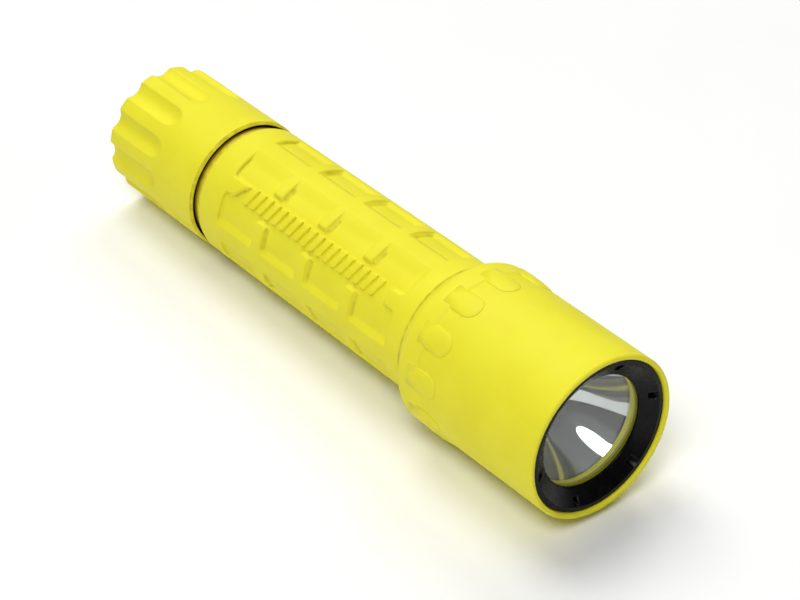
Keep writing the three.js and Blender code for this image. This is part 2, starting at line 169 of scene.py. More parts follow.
def grid(back, radius, angles, wear_and_shade):
    """A closed skin from rows of points round the axis. back, radius and wear are rows by angles; negative
    wear stands for painted shade.
    """
    shape = (back.shape[0], len(angles))
    back, radius, wear_and_shade = (np.broadcast_to(a, shape) for a in (back, radius, wear_and_shade))
    verts = point(back, radius, np.asarray(angles)[None, :])
    rows, columns = shape
    poles = [i for i in (0, rows - 1) if float(radius[i].max()) < 1e-6]
    index = np.arange(rows * columns).reshape(shape)
    faces = quads_over(index if poles else np.concatenate([index, index[:1]]))
    verts = verts.reshape(-1, 3)
    wear_and_shade = wear_and_shade.reshape(-1).copy()
    if poles:
        last = int(index[-1, 0])
        trimmed = []
        for f in faces:
            g = [0 if v < columns else min(v, last) for v in f]
            g = [v for k, v in enumerate(g) if v != g[k - 1]]
            if len(g) > 2:
                trimmed.append(g)
        faces = trimmed
        used = sorted({v for f in faces for v in f})
        new = {v: k for k, v in enumerate(used)}
        faces = [[new[v] for v in f] for f in faces]
        verts, wear_and_shade = verts[used], wear_and_shade[used]
    return verts, faces, wear_and_shade


def even(sides=ROUND):
    return np.arange(sides) * 2 * math.pi / sides


def turned(outline, corner=0.15, sides=ROUND, steps=4):
    closed = outline[0][1] > 0
    rows = np.array(rounded(outline, corner, steps, closed))
    return grid(rows[:, 0:1], rows[:, 1:2], even(sides), rows[:, 2:3])


def torus(back, middle, section, sides=ROUND, around=20):
    turn = np.arange(around) * 2 * math.pi / around
    back = (back + section * np.cos(turn))[:, None]
    radius = (middle + section * np.sin(turn))[:, None]
    return grid(back, radius, even(sides), np.zeros((around, 1)))


def tube(path, section):
    """A skin along a path. path is N by 3 in metres, section N by M by 3 offsets. Its ends are closed."""
    rings = path[:, None, :] + section
    count, around = rings.shape[:2]
    verts = rings.reshape(-1, 3)
    index = np.arange(count * around).reshape(count, around)
    faces = quads_over(index)
    faces.append(index[0].tolist())
    faces.append(index[-1].tolist()[::-1])
    return verts, faces, np.zeros(len(verts))


def unit(vectors):
    return vectors / np.linalg.norm(vectors, axis=1)[:, None]


def wire_section(first, second, radius, around):
    """The offsets of a round wire from its path. first and second are directions across each of its points,
    and the radius is in millimetres."""
    turn = (np.arange(around) * 2 * math.pi / around)[None, :, None]
    return (np.cos(turn) * first[:, None, :] + np.sin(turn) * second[:, None, :]) * radius * MM


def spring(start, end, turns, wire, steps_per_turn=48, around=14):
    """A coil from one (back, radius) to another, with its end turns closed up. wire is its half thickness."""
    count = int(turns * steps_per_turn) + 1
    t = np.linspace(0, 1, count)
    angle = t * turns * 2 * math.pi
    flat = 0.22  # turns that don't rise, at each end
    rise = np.clip((t * turns - flat) / (turns - 2 * flat), 0, 1)
    back = start[0] - wire + (end[0] - start[0] + 2 * wire) * rise
    radius = start[1] + (end[1] - start[1]) * t
    path = point(back, radius, angle)
    tangent = unit(np.gradient(path, axis=0))
    outward = np.stack([np.zeros(count), np.sin(angle), np.cos(angle)], axis=-1)
    outward = unit(outward - (outward * tangent).sum(1)[:, None] * tangent)
    return tube(path, wire_section(outward, np.cross(tangent, outward), wire, around))


def thread(back, turns, wall, crest, steps_per_turn=120):
    """One right-handed ridge of thread, from back forwards, whose ends fade into the wall."""
    count = int(turns * steps_per_turn) + 1
    angle = np.linspace(0, turns * 2 * math.pi, count)
    fade = np.clip(np.minimum(angle, angle[-1] - angle) / math.radians(45), 0, 1)
    fade = fade * fade * (3 - 2 * fade)
    buried = wall + (0.25 if crest < wall else -0.25)
    tip = wall + (crest - wall) * fade - (0.04 if crest > wall else -0.04) * (1 - fade)
    near = wall + (tip - wall) * 0.8
    # across the ridge: half width and radius of each corner
    across = [
        (-0.48, buried), (-0.47, wall), (-0.25, near), (-0.14, tip),
        (0.14, tip), (0.25, near), (0.47, wall), (0.48, buried),
    ]
    middle = back - THREAD_PITCH * angle / (2 * math.pi)
    rings = [point(middle + w, np.broadcast_to(r, angle.shape), -angle) for w, r in across]
    rings = np.stack(rings, axis=1)
    path = rings.mean(axis=1)
    return tube(path, rings - path[:, None, :])


def crowned(rings, wear_and_shade_rings, tip):
    """A skin over rings of points, from a flat foot up to a tip."""
    index = np.arange(len(rings) * len(rings[0])).reshape(len(rings), -1)
    last = index[-1].tolist()
    faces = quads_over(index)
    faces += [[b, a, index.size] for a, b in zip(last, last[1:] + last[:1])]
    faces.append(index[0].tolist())
    return np.concatenate([*rings, tip.reshape(1, 3)]), faces, np.concatenate([*wear_and_shade_rings, np.zeros(1)])


def boss(back, degrees, outline, levels):
    """A raised island on a round wall. outline is its edge, as (forwards, across) from its middle, and levels
    are (share of the outline, radius, wear, which is painted shade where negative), from its foot to its top."""
    across = np.array([p[1] for p in outline])
    forwards = np.array([p[0] for p in outline])
    rings, wear_and_shade_rings = [], []
    for share, radius, wear_and_shade in levels:
        angle = math.radians(degrees) + across * share / levels[0][1]
        rings.append(point(back - forwards * share, radius, angle))
        wear_and_shade_rings.append(np.full(len(outline), wear_and_shade))
    return crowned(rings, wear_and_shade_rings, point(back, levels[-1][1], math.radians(degrees)))


def rounded_box_outline(length, width, corner, shear=0.0, steps=5):
    """The edge of a rectangle with round corners, as (forwards, across) points."""
    out = []
    for sx, sy, start in ((1, 1, 0), (-1, 1, 90), (-1, -1, 180), (1, -1, 270)):
        cx, cy = sx * (length / 2 - corner), sy * (width / 2 - corner)
        for k in range(steps + 1):
            a = math.radians(start + 90 * k / steps)
            x, y = cx + corner * math.cos(a), cy + corner * math.sin(a)
            out.append((x + shear * y, y))
    return out


def facing_out(verts, faces):
    """The faces, turned over if the closed skin they make is inside out."""
    volume = 0.0
    middle = verts.mean(axis=0)
    p = verts - middle
    for size in (3, 4):
        part = np.array([f for f in faces if len(f) == size])
        if not len(part):
            continue
        for k in range(1, size - 1):
            a, b, c = p[part[:, 0]], p[part[:, k]], p[part[:, k + 1]]
            volume += float(np.einsum("ij,ij->i", a, np.cross(b, c)).sum())
    for f in (f for f in faces if len(f) > 4):
        q = p[f]
        for k in range(1, len(f) - 1):
            volume += float(q[0] @ np.cross(q[k], q[k + 1]))
    return faces if volume > 0 else [f[::-1] for f in faces]


def build(name, skins, finish, body, nodes=(), across=None):
    """One object of one or more closed skins. across is (other body, start back, end back) for a piece that
    runs between two bodies; such a piece has its transform baked and is attached to no body, and the other
    body and the backs are not used."""
    verts, faces, wear_and_shade = [], [], []
    count = 0
    for v, f, w in skins:
        f = facing_out(v, f)
        faces += [[i + count for i in face] for face in f]
        verts.append(v)
        wear_and_shade.append(w)
        count += len(v)
    mesh = bpy.data.meshes.new(name)
    mesh.from_pydata(np.concatenate(verts).tolist(), [], faces)
    mesh.polygons.foreach_set("use_smooth", [True] * len(faces))
    attribute = mesh.attributes.new("wear_and_shade", "FLOAT", "POINT")
    attribute.data.foreach_set("value", np.concatenate(wear_and_shade).astype(np.float32))
    mesh.validate()
    mesh.materials.append(finish)
    obj = bpy.data.objects.new(name, mesh)
    bpy.context.scene.collection.objects.link(obj)
    if across:
        other, start, end = across
        at = [(FRONT_X - b * MM, 0, AXIS_Z) for b in (start, end)]
        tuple(at[0])
        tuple(at[1])
        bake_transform(obj)
    else:
        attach(obj, body)
    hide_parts(*nodes)
    return obj


# ---- materials ----


def linear(code):
    """A colour code such as e8de3e as linear red, green, blue, alpha."""
    parts = [int(code[i : i + 2], 16) / 255 for i in (0, 2, 4)]
    return [c / 12.92 if c <= 0.04045 else ((c + 0.055) / 1.055) ** 2.4 for c in parts] + [1.0]


class Nodes:
    """A material's nodes, made and joined in a few calls."""

    def __init__(self, name):
        self.material = bpy.data.materials.new(name)
        self.material.use_nodes = True
        self.tree = self.material.node_tree
        self.tree.nodes.clear()
        self.output = self.add("ShaderNodeOutputMaterial")
        self.place = self.add("ShaderNodeTexCoord").outputs["Object"]

    def add(self, kind, **settings):
        node = self.tree.nodes.new(kind)
        for key, value in settings.items():
            setattr(node, key, value)
        return node

    def join(self, source, socket):
        self.tree.links.new(source, socket)

    def noise(self, size_mm, detail=3.0, roughness=0.55, stretch=(1, 1, 1)):
        """A noise whose features are about size_mm across."""
        mapping = self.add("ShaderNodeMapping")
        mapping.inputs["Scale"].default_value = [1000 / size_mm / s for s in stretch]
        self.join(self.place, mapping.inputs["Vector"])
        node = self.add("ShaderNodeTexNoise")
        node.inputs["Scale"].default_value = 1.0
        node.inputs["Detail"].default_value = detail
        node.inputs["Roughness"].default_value = roughness
        self.join(mapping.outputs["Vector"], node.inputs["Vector"])
        return node.outputs["Fac"]

    def spread(self, value, low, high, to_low, to_high, smooth=True):
        node = self.add("ShaderNodeMapRange")
        node.interpolation_type = "SMOOTHSTEP" if smooth else "LINEAR"
        self.join(value, node.inputs["Value"])
        for key, number in (("From Min", low), ("From Max", high), ("To Min", to_low), ("To Max", to_high)):
            node.inputs[key].default_value = number
        return node.outputs["Result"]

    def times(self, a, b):
        node = self.add("ShaderNodeMath", operation="MULTIPLY")
        self.join(a, node.inputs[0])
        self.join(b, node.inputs[1])
        return node.outputs["Value"]

    def blend(self, share, a, b):
        """Colours mixed. Each of a and b is a colour or another node's output."""
        node = self.add("ShaderNodeMix", data_type="RGBA")
        self.join(share, node.inputs[0])
        for socket, colour in ((node.inputs[6], a), (node.inputs[7], b)):
            if isinstance(colour, list):
                socket.default_value = colour
            else:
                self.join(colour, socket)
        return node.outputs[2]

    def wear_and_shade(self):
        node = self.add("ShaderNodeAttribute", attribute_name="wear_and_shade")
        return node.outputs["Fac"]

    def bump(self, height, depth_mm, strength=1.0, under=None):
        node = self.add("ShaderNodeBump")
        node.inputs["Strength"].default_value = strength
        node.inputs["Distance"].default_value = depth_mm * MM
        self.join(height, node.inputs["Height"])
        if under is not None:
            self.join(under, node.inputs["Normal"])
        return node.outputs["Normal"]


def finish_of(
    name, light, dark, edge, roughness, metallic=0.0, mottle=5.0, grain=0.25, grain_depth=0.012,
    edge_share=0.3, dirt_and_shade_share=0.3, dirt_and_shade=None, specular=0.5, brushed=None, coat=0.0, scratches=0.0,
    gap_shade=None,
):
    """A finish with slow colour variation, a fine grain in the surface, paler worn edges, and darker corners,
    which are painted shade and dirt.
    Where the wear value is -2 or less, deep in a gap, it has the gap colour, which is painted shade."""
    n = Nodes(name)
    shader = n.add("ShaderNodeBsdfPrincipled")
    shader.inputs["Metallic"].default_value = metallic
    shader.inputs["Specular IOR Level"].default_value = specular
    shader.inputs["Coat Weight"].default_value = coat
    tone = n.spread(n.noise(mottle), 0.35, 0.65, 0, 1)
    colour = n.blend(tone, linear(dark), linear(light))
    breakup = n.spread(n.noise(mottle / 6), 0.3, 0.7, 0.35, 1.0)
    worn = n.times(n.spread(n.wear_and_shade(), 0.15, 1.0, 0, edge_share), breakup)
    colour = n.blend(worn, colour, linear(edge))
    # where the wear value is negative the colour goes towards the dirt colour: painted shade and dirt in
    # corners and hollows
    dirt_and_shade_mix = n.times(n.spread(n.wear_and_shade(), -0.15, -1.0, 0, dirt_and_shade_share), breakup)
    colour = n.blend(dirt_and_shade_mix, colour, linear(dirt_and_shade or dark))
    # painted gap shade, deepest in gaps
    if gap_shade:
        colour = n.blend(n.spread(n.wear_and_shade(), -1.1, -2.0, 0, 1), colour, linear(gap_shade))
    n.join(colour, shader.inputs["Base Color"])
    shine = n.spread(n.noise(mottle / 2.2, 4), 0.3, 0.7, roughness[0], roughness[1])
    n.join(shine, shader.inputs["Roughness"])
    stretch = brushed or (1, 1, 1)
    normal = n.bump(n.noise(grain, 2, 0.5, stretch), grain_depth, 0.8)
    if scratches:
        fine = n.noise(0.5, 5, 0.7, (1, 14, 1))
        normal = n.bump(n.spread(fine, 0.62, 0.75, 0, 1), scratches, 0.5, normal)
    n.join(normal, shader.inputs["Normal"])
    n.join(shader.outputs["BSDF"], n.output.inputs["Surface"])
    return n.material


# the yellow's corner colour and gap colour are painted shade, the olive and dark brown its hollows and gaps
# take on in shade
YELLOW = finish_of(
    "moulded_yellow", "f1e932", "eee52e", "f5ef58", (0.52, 0.66), mottle=9, grain=0.3, grain_depth=0.014,
    edge_share=0.3, dirt_and_shade_share=0.6, dirt_and_shade="a98c06", specular=0.25, gap_shade="7c6203",
)
BLACK_PLASTIC = finish_of(
    "black_plastic", "0b0b0d", "070708", "2a2a2e", (0.24, 0.36), mottle=3, grain=0.2, grain_depth=0.006,
    edge_share=0.5, dirt_and_shade_share=0.4, dirt_and_shade="030303", specular=0.14,
)
SEAL_RUBBER = finish_of(
    "seal_rubber", "080808", "050505", "161616", (0.5, 0.7), mottle=2, grain=0.15, grain_depth=0.006,
    specular=0.15,
)
BUTTON_RUBBER = finish_of(
    "button_rubber", "19191a", "101011", "303030", (0.6, 0.8), mottle=4, grain=0.28, grain_depth=0.02,
)
SLEEVE = finish_of(
    "sleeve_aluminium", "c4c6c8", "aeb1b4", "e2e3e4", (0.3, 0.46), 1.0, mottle=6, grain=0.12,
    grain_depth=0.006, brushed=(1, 30, 1), dirt_and_shade="77797c",
)
BRASS = finish_of(
    "contact_brass", "d2aa52", "bf9440", "ead08a", (0.25, 0.4), 1.0, mottle=3, grain=0.1,
    grain_depth=0.005, brushed=(1, 8, 1), dirt_and_shade="7d5f26",
)
NICKEL = finish_of(
    "nickel_steel", "c9c8c3", "b5b4b0", "e4e3df", (0.2, 0.34), 1.0, mottle=4, grain=0.12,
    grain_depth=0.004, dirt_and_shade="70706c", scratches=0.002,
)
SPRING_STEEL = finish_of(
    "spring_steel", "bdbfc2", "a3a5a8", "d8dadc", (0.2, 0.35), 1.0, mottle=2, grain=0.08,
    grain_depth=0.003, dirt_and_shade="606264",
)
NYLON = finish_of(
    "white_nylon", "eae6d8", "dfdac9", "f4f1e6", (0.45, 0.6), mottle=4, grain=0.2, grain_depth=0.008,
    dirt_and_shade="b9b19a",
)
CELL_SLEEVE = finish_of(
    "cell_sleeve", "4a4f57", "3b4048", "6d727a", (0.3, 0.42), mottle=8, grain=0.4, grain_depth=0.006,
    dirt_and_shade="23262b", coat=0.2,
)
CERAMIC = finish_of(
    "bulb_ceramic", "f0ebdf", "e4ddcc", "f8f5ec", (0.6, 0.75), mottle=3, grain=0.18, grain_depth=0.012,
    dirt_and_shade="b5ab95",
)
FILAMENT = finish_of(
    "filament_wire", "8d8f94", "74767c", "a9abb0", (0.3, 0.45), 1.0, mottle=1, grain=0.05,
    grain_depth=0.002,
)


def mirror_finish():
    """Vacuum-coated metal: near perfect, with a faint orange-peel waviness."""
    n = Nodes("reflector_mirror")
    shader = n.add("ShaderNodeBsdfPrincipled")
    shader.inputs["Metallic"].default_value = 1.0
    tone = n.spread(n.noise(7), 0.3, 0.7, 0, 1)
    n.join(n.blend(tone, linear("cfd0d3"), linear("dfe0e2")), shader.inputs["Base Color"])
    n.join(n.spread(n.noise(2.5, 4), 0.3, 0.7, 0.025, 0.06), shader.inputs["Roughness"])
    n.join(n.bump(n.noise(1.6, 2), 0.006, 0.6), shader.inputs["Normal"])
    n.join(shader.outputs["BSDF"], n.output.inputs["Surface"])
    return n.material


def glass_finish(name, tint, strength):
    """Thin clear glass: light goes straight through, and the surface reflects more at a grazing angle."""
    n = Nodes(name)
    clear = n.add("ShaderNodeBsdfTransparent")
    clear.inputs["Color"].default_value = linear(tint)
    shine = n.add("ShaderNodeBsdfGlossy")
    shine.inputs["Color"].default_value = (1, 1, 1, 1)
    n.join(n.spread(n.noise(4, 4), 0.35, 0.7, 0.02, 0.06), shine.inputs["Roughness"])
    facing = n.add("ShaderNodeLayerWeight")
    facing.inputs["Blend"].default_value = 0.1
    share = n.spread(facing.outputs["Facing"], 0, 1, 0.03, strength, smooth=False)
    mix = n.add("ShaderNodeMixShader")
    n.join(share, mix.inputs["Fac"])
    n.join(clear.outputs["BSDF"], mix.inputs[1])
    n.join(shine.outputs["BSDF"], mix.inputs[2])
    n.join(mix.outputs["Shader"], n.output.inputs["Surface"])
    return n.material


MIRROR = mirror_finish()
LENS_GLASS = glass_finish("lens_glass", "fbfdfc", 0.45)
BULB_GLASS = glass_finish("bulb_glass", "f4f4f0", 0.9)

# ---- the body ----

GRIP_FRONT, GRIP_REAR = 41.0, 95.5
POCKET_BACKS = [48.2 + 13.28 * k for k in range(4)]
POCKET_LENGTH, POCKET_WIDTH = 10.4, 6.9
POCKET_ANGLES = [20 + 45 * k for k in range(8)]
POCKET_DEPTH = 0.78
BESIDE_STRIP = (-70, -25)  # the two rows of pockets that open into the strip
WALL_RADIUS = 13.2  # the radius that widths round the barrel are measured at
STRIP_LOW, STRIP_HIGH = -59.5, -34.0  # the strip, which is the long recess, in degrees
STRIP_FRONT, STRIP_REAR, STRIP_SLANT = 46.3, 89.3, 0.8
BAR_COUNT, BAR_SPACING, FIRST_BAR, BAR_ANGLE = 18, 2.2, 49.6, -46.8


def smoothstep(value):
    t = np.clip(value, 0, 1)
    return t * t * (3 - 2 * t)


def box_distance(x, y, half_x, half_y, corner):
    """How far outside a rectangle with round corners a point is, negative inside."""
    qx, qy = np.abs(x) - half_x + corner, np.abs(y) - half_y + corner
    outside = np.hypot(np.maximum(qx, 0), np.maximum(qy, 0))
    return outside + np.minimum(np.maximum(qx, qy), 0) - corner


def smooth_min(a, b, reach):
    near = np.maximum(reach - np.abs(a - b), 0) / reach
    return np.minimum(a, b) - near * near * reach / 4


def turn_from(angle, degrees):
    """The signed turn from a direction, in degrees, between -180 and 180."""
    return (np.degrees(angle) - degrees + 180) % 360 - 180


def arc(angle, degrees):
    """The signed distance round the barrel from a direction, in millimetres."""
    return np.radians(turn_from(angle, degrees)) * WALL_RADIUS


def trough(inward, reach=1.45):
    """How far a pocket's side wall has gone down, at a distance inside its edge."""
    share = inward / reach
    return 0.75 * np.clip(share, 0, 1) + 0.25 * smoothstep(share)


def recess(back, angle):
    """How deep the pockets and the strip go, from 0 to 1."""
    wall_width = 0.72
    half_length, half_width = POCKET_LENGTH / 2, POCKET_WIDTH / 2
    along = np.min(np.abs(back[..., None] - np.array(POCKET_BACKS)), axis=-1)
    depth = np.zeros(np.broadcast_shapes(back.shape, angle.shape))
    joined = None
    for degrees in POCKET_ANGLES:
        across = arc(angle, degrees)
        pocket = box_distance(along, across, half_length, half_width, 0.7)
        if (degrees + 180) % 360 - 180 in BESIDE_STRIP:
            joined = pocket if joined is None else smooth_min(joined, pocket, 0.3)
            continue
        wall = smoothstep(0.5 - pocket / wall_width)
        flat = 1 - 0.16 * (across / half_width) ** 2
        depth = np.maximum(depth, np.minimum(wall, trough(half_width - np.abs(across))) * flat)
    middle = (STRIP_LOW + STRIP_HIGH) / 2
    half = math.radians(STRIP_HIGH - STRIP_LOW) / 2 * WALL_RADIUS
    across = arc(angle, middle)
    rear = (back - STRIP_REAR + STRIP_SLANT * across) / math.hypot(1, STRIP_SLANT)
    front = STRIP_FRONT - back
    strip = np.maximum(np.maximum(np.abs(across) - half, front), rear)
    joined = smooth_min(joined, strip, 0.8)
    wall = smoothstep(0.5 - joined / wall_width)
    lower = trough(arc(angle, BESIDE_STRIP[0]) + half_width)
    upper = trough(half_width - arc(angle, BESIDE_STRIP[1]), 2.8)
    return np.maximum(depth, np.minimum(wall, np.minimum(lower, upper)))


def curvature_wear_and_shade(radius, strength):
    """Wear and painted shade from how far each point stands out from its neighbours on a grid: wear where it
    stands out, painted shade where it sinks in.
    """
    around = (np.roll(radius, 1, 1) + np.roll(radius, -1, 1)) / 2
    along = radius.copy()
    along[1:-1] = (radius[:-2] + radius[2:]) / 2
    return np.clip(((radius - around) + (radius - along)) * strength, -1, 1)


def barrel():
    outline = [
        (29.6, 9.5), (29.6, 13.1, 0.1), (30.1, 13.6, 0.1), (34.2, 13.6, 0.08), (34.2, 13.15, 0.08),
        (35.7, 13.15, 0.08), (35.7, 13.6, 0.08), (36.02, 13.6, 0.05), (36.02, 14.9, 0.05),
        (36.3, 14.85, 0.2), (38.2, 13.5, 2.2), (40.6, 13.34, 0), (98.7, 13.12, 0.8), (99.5, 12.85, 0.5),
        (99.8, 12.25, 0.1), (101.6, 12.2, 0.1), (101.6, 11.2, 0.1), (103.2, 11.2, 0.1), (103.2, 12.0, 0.1),
        (104.4, 12.0, 0.1), (104.4, 11.4, 0.1), (111.8, 11.4, 0.1), (112.4, 10.8, 0.1), (112.4, 9.5),
    ]
    edges = [b + s * POCKET_LENGTH / 2 for b in POCKET_BACKS for s in (-1, 1)]
    fingers = [b + POCKET_LENGTH / 2 + 1.44 for b in POCKET_BACKS[:-1]]

    def spacing(x):
        if min(abs(x - e) for e in edges) < 0.42:
            return 0.105
        at_strip = STRIP_REAR - 1.1 < x < STRIP_REAR + 3.1 or abs(x - STRIP_FRONT) < 0.4
        return 0.2 if at_strip or min(abs(x - f) for f in fingers) < 1.3 else 0.55

    lines = lines_between(GRIP_FRONT, GRIP_REAR, spacing)
    rows = refined(rounded(outline), lines, (40.5, 13.0), (98.8, 13.5))
    rows = np.array(rows)
    half = math.degrees(POCKET_WIDTH / 2 / WALL_RADIUS)

    def turn_spacing(angle):
        fine = [abs(turn_from(np.radians(angle), a + s * half)) for a in POCKET_ANGLES for s in (-1, 1)]
        at_strip = min(abs(turn_from(np.radians(angle), a)) for a in (STRIP_LOW, STRIP_HIGH))
        if min(fine) < 1.5 or at_strip < 4.5:
            return 0.62
        slope = min(abs(f - 3.5) for f in fine)
        return 1.1 if slope < 3.0 else 2.2

    angles = np.radians(lines_between(-180, 180, turn_spacing)[:-1])
    back = np.broadcast_to(rows[:, 0:1], (len(rows), len(angles))).copy()
    radius = np.broadcast_to(rows[:, 1:2], back.shape).copy()
    wear_and_shade = np.broadcast_to(rows[:, 2:3], back.shape).copy()
    outside = (rows[:, 0] > GRIP_FRONT) & (rows[:, 0] <= GRIP_REAR) & (rows[:, 1] > 13.0)
    shape = recess(back[outside], angles[None, :])
    radius[outside] -= POCKET_DEPTH * shape
    # painted shade on the neck in the gap before the cap, deepening to the painted gap shade further back
    neck = (rows[:, 0] > 99.7) & (rows[:, 1] < 12.5) & (rows[:, 1] > 11.0)
    wear_and_shade[neck] = (-0.9 - 1.1 * smoothstep((back[:, :1] - 99.8) / 1.1))[neck]
    # the corners are worn paler where the wall turns over, and darkened with painted shade where it meets the
    # floor
    slope = np.abs(np.gradient(shape, axis=0)) + np.abs(np.gradient(shape, axis=1))
    wear_and_shade[outside] += np.clip(slope * 2.0 - 0.2, 0, 1) * np.where(shape < 0.5, 0.4, -0.6)
    # the walls at the tail ends of the pockets get the most painted shade
    wear_and_shade[outside] -= np.clip(-np.gradient(shape, axis=0) * 5.0 - 0.5, 0, 0.55)
    return grid(back, radius, angles, wear_and_shade)


def grip_bars():
    """The row of short raised bars in the strip."""
    outline = rounded_box_outline(1.3, 3.6, 0.3, shear=0.35)
    floor = WALL_RADIUS - POCKET_DEPTH
    top = floor + 0.62
    # each bar's foot is darkened with painted shade, its top edges paler with wear
    levels = [
        (1.0, floor - 0.3, -1.0), (1.0, floor, -1.0), (0.985, floor + 0.25, -0.5), (0.97, top - 0.1, 0.5),
        (0.93, top - 0.02, 1.0), (0.84, top, 0.3), (0.4, top + 0.01, 0),
    ]
    return [boss(FIRST_BAR + BAR_SPACING * k, BAR_ANGLE, outline, levels) for k in range(BAR_COUNT)]


build(
    "barrel", [barrel(), *grip_bars(), thread(33.6, 2.5, 13.6, 14.25), thread(110.6, 3.5, 11.4, 12.05)],
    YELLOW, "body", ["barrel_shell"],
)
sleeve = turned(
    [(29.2, 8.9), (29.2, 9.35), (112.55, 9.35), (112.55, 11.1), (113.0, 11.1), (113.0, 8.9)], 0.08,
)
build("sleeve", [sleeve], SLEEVE, "body", ["contact_sleeve"])
build(
    "front_contact", [turned([(29.1, 9.45), (29.1, 12.6), (29.5, 12.6), (29.5, 9.45)], 0.08)],
    BRASS, "body", ["front_contact_ring"],
)
build("head_seal", [torus(34.95, 13.75, 0.58)], SEAL_RUBBER, "body", ["head_seal_ring"])
build("tail_seal", [torus(102.4, 11.92, 0.68)], SEAL_RUBBER, "body", ["tail_seal_ring"])

# ---- the cells ----

CELL_LENGTH, CELLS_FRONT = 34.5, 39


def cell(name, start):
    top, end = start + 1, start + CELL_LENGTH - 0.1
    can = turned(
        [
            (end, 0), (end, 6.9, 0.1), (end - 0.15, 7.3, 0.2), (end, 7.7, 0.2), (end, 8.3, 0.35),
            (top, 8.3, 0.3), (top, 6.4, 0.1), (top + 0.9, 6.4, 0.1), (top + 0.9, 0),
        ],
        sides=SMALL_ROUND * 2,
    )
    wrap = turned(
        [(top + 0.25, 8.35), (top + 0.25, 8.5, 0.07), (end - 0.3, 8.5, 0.07), (end - 0.3, 8.35)], 0.05,
        sides=SMALL_ROUND * 2,
    )
    seal = turned([(top, 3.4), (top, 6.25), (top + 0.8, 6.25), (top + 0.8, 3.4)], 0.12, SMALL_ROUND)
    terminal = turned(
        [(start, 0), (start, 2.9, 0.3), (top - 0.1, 3.2, 0.15), (top + 0.8, 3.25, 0.05), (top + 0.8, 0)],
        sides=SMALL_ROUND,
    )
    build(name + "_case", [can], NICKEL, "body", [name + "_can"])
    build(name + "_sleeve", [wrap], CELL_SLEEVE, "body", [name + "_wrap"])
    build(name + "_insulator", [seal], BLACK_PLASTIC, "body", [name + "_seal"])
    build(name + "_pole", [terminal], NICKEL, "body", [name + "_terminal"])


cell("front_cell", CELLS_FRONT)
cell("rear_cell", CELLS_FRONT + CELL_LENGTH)

# ---- the lamp module ----

FILAMENT_BACK, POST_RADIUS = 13.7, 0.17


def bowl():
    """A parabola with the filament at its focus, on a straight neck."""
    mouth, mouth_radius, vertex, neck, neck_end = 5.2, 12.65, 17.0, 3.4, 24.6
    inside = []
    for radius in np.linspace(mouth_radius, neck, 41):
        inside.append((vertex - (vertex - mouth) * (radius / mouth_radius) ** 2, radius, 0))
    outside = [
        (neck_end, neck, 0.05), (neck_end, 5.2, 0.1), (17.4, 5.2, 0.8), (14.6, 7.9, 1), (11.6, 10.3, 1),
        (8.6, 12.2, 0.3), (6.4, 13.4, 0.05), (mouth, 13.4, 0.1),
    ]
    return turned(inside + outside, 0.1, ROUND * 3 // 2)


build("mirror_bowl", [bowl()], MIRROR, "lamp_module", ["reflector"])
bulb_glass = turned(
    [
        (10.4, 0), (10.45, 1.0, 0.4), (11.1, 2.1, 0.7), (12.6, 2.6, 1.0), (20.9, 2.6, 0.1),
        (20.9, 2.15, 0.1), (12.7, 2.15, 0.8), (11.4, 1.7, 0.6), (10.95, 0.9, 0.3), (10.9, 0),
    ],
    sides=SMALL_ROUND,
)
build("bulb_glass", [bulb_glass], BULB_GLASS, "lamp_module", ["bulb_envelope"])
build(
    "bulb_foot", [turned([(21, 0), (21, 3.05), (32.9, 3.05), (32.9, 0)], 0.2, SMALL_ROUND)],
    CERAMIC, "lamp_module", ["bulb_base"],
)


def filament_coil():
    """A finely wound coil between the tips of two posts."""
    turns, half, wire, size = 9, 0.95, 0.07, 0.24
    count = turns * 20 + 1
    t = np.linspace(0, 1, count)
    angle = t * turns * 2 * math.pi
    path = np.stack(
        [
            FRONT_X - (FILAMENT_BACK + size * np.cos(angle)) * MM,
            (2 * t - 1) * half * MM,
            AXIS_Z + size * np.sin(angle) * MM,
        ],
        axis=-1,
    )
    tangent = unit(np.gradient(path, axis=0))
    side = unit(np.cross(tangent, (0, 1, 0)))
    return tube(path, wire_section(side, np.cross(tangent, side), wire, 8))


def filament_post(side):
    """A post that stands up from the bulb's foot, with a hooked tip."""
    bend = [(20.95, 1.1), (14.5, 1.1), (14.0, 1.08), (13.75, 1.0), (FILAMENT_BACK, 0.9)]
    path = np.array([(FRONT_X - b * MM, side * s * MM, AXIS_Z) for b, s in bend])
    tangent = unit(np.gradient(path, axis=0))
    up = np.broadcast_to((0.0, 0.0, 1.0), path.shape)
    return tube(path, wire_section(up, np.cross(tangent, up), POST_RADIUS, 10))


build(
    "filament_coil", [filament_coil(), filament_post(-1), filament_post(1)],
    FILAMENT, "lamp_module", ["filament"],
)
lamp_holder = turned(
    [(24.9, 3.25), (24.9, 9.3), (26.0, 9.3), (26.0, 7.2, 0.1), (33.0, 7.2, 0.3), (33.0, 3.25)],
    sides=SMALL_ROUND * 2,
)
build("lamp_holder", [lamp_holder], BRASS, "lamp_module", ["lamp_housing"])
build(
    "lamp_washer", [turned([(33.15, 1.8), (33.15, 6.9), (34.9, 6.9, 0.4), (34.9, 1.8)], 0.15, SMALL_ROUND)],
    NYLON, "lamp_module", ["lamp_insulator"],
)
lamp_pin = turned(
    [(33.2, 0), (33.2, 1.6), (35.0, 1.6, 0.05), (35.0, 3.0), (35.6, 3.0, 0.25), (35.6, 0)], 0.1, SMALL_ROUND,
)
build("lamp_pin", [lamp_pin], BRASS, "lamp_module", ["lamp_contact"])
build(
    "outer_spring", [spring((29.0, 11.2), (26.1, 8.4), 2.5, 0.35)],
    SPRING_STEEL, "body", ["lamp_outer_spring"], across=("lamp_module", 28.9, 26.2),
)
build(
    "centre_spring", [spring((38.9, 1.6), (35.7, 2.3), 3, 0.3, 40)],
    SPRING_STEEL, "body", ["lamp_centre_spring"], across=("lamp_module", 38.8, 35.8),
)

# ---- the head ----


LUG_ANGLES = [9 + 30 * k for k in range(12)]


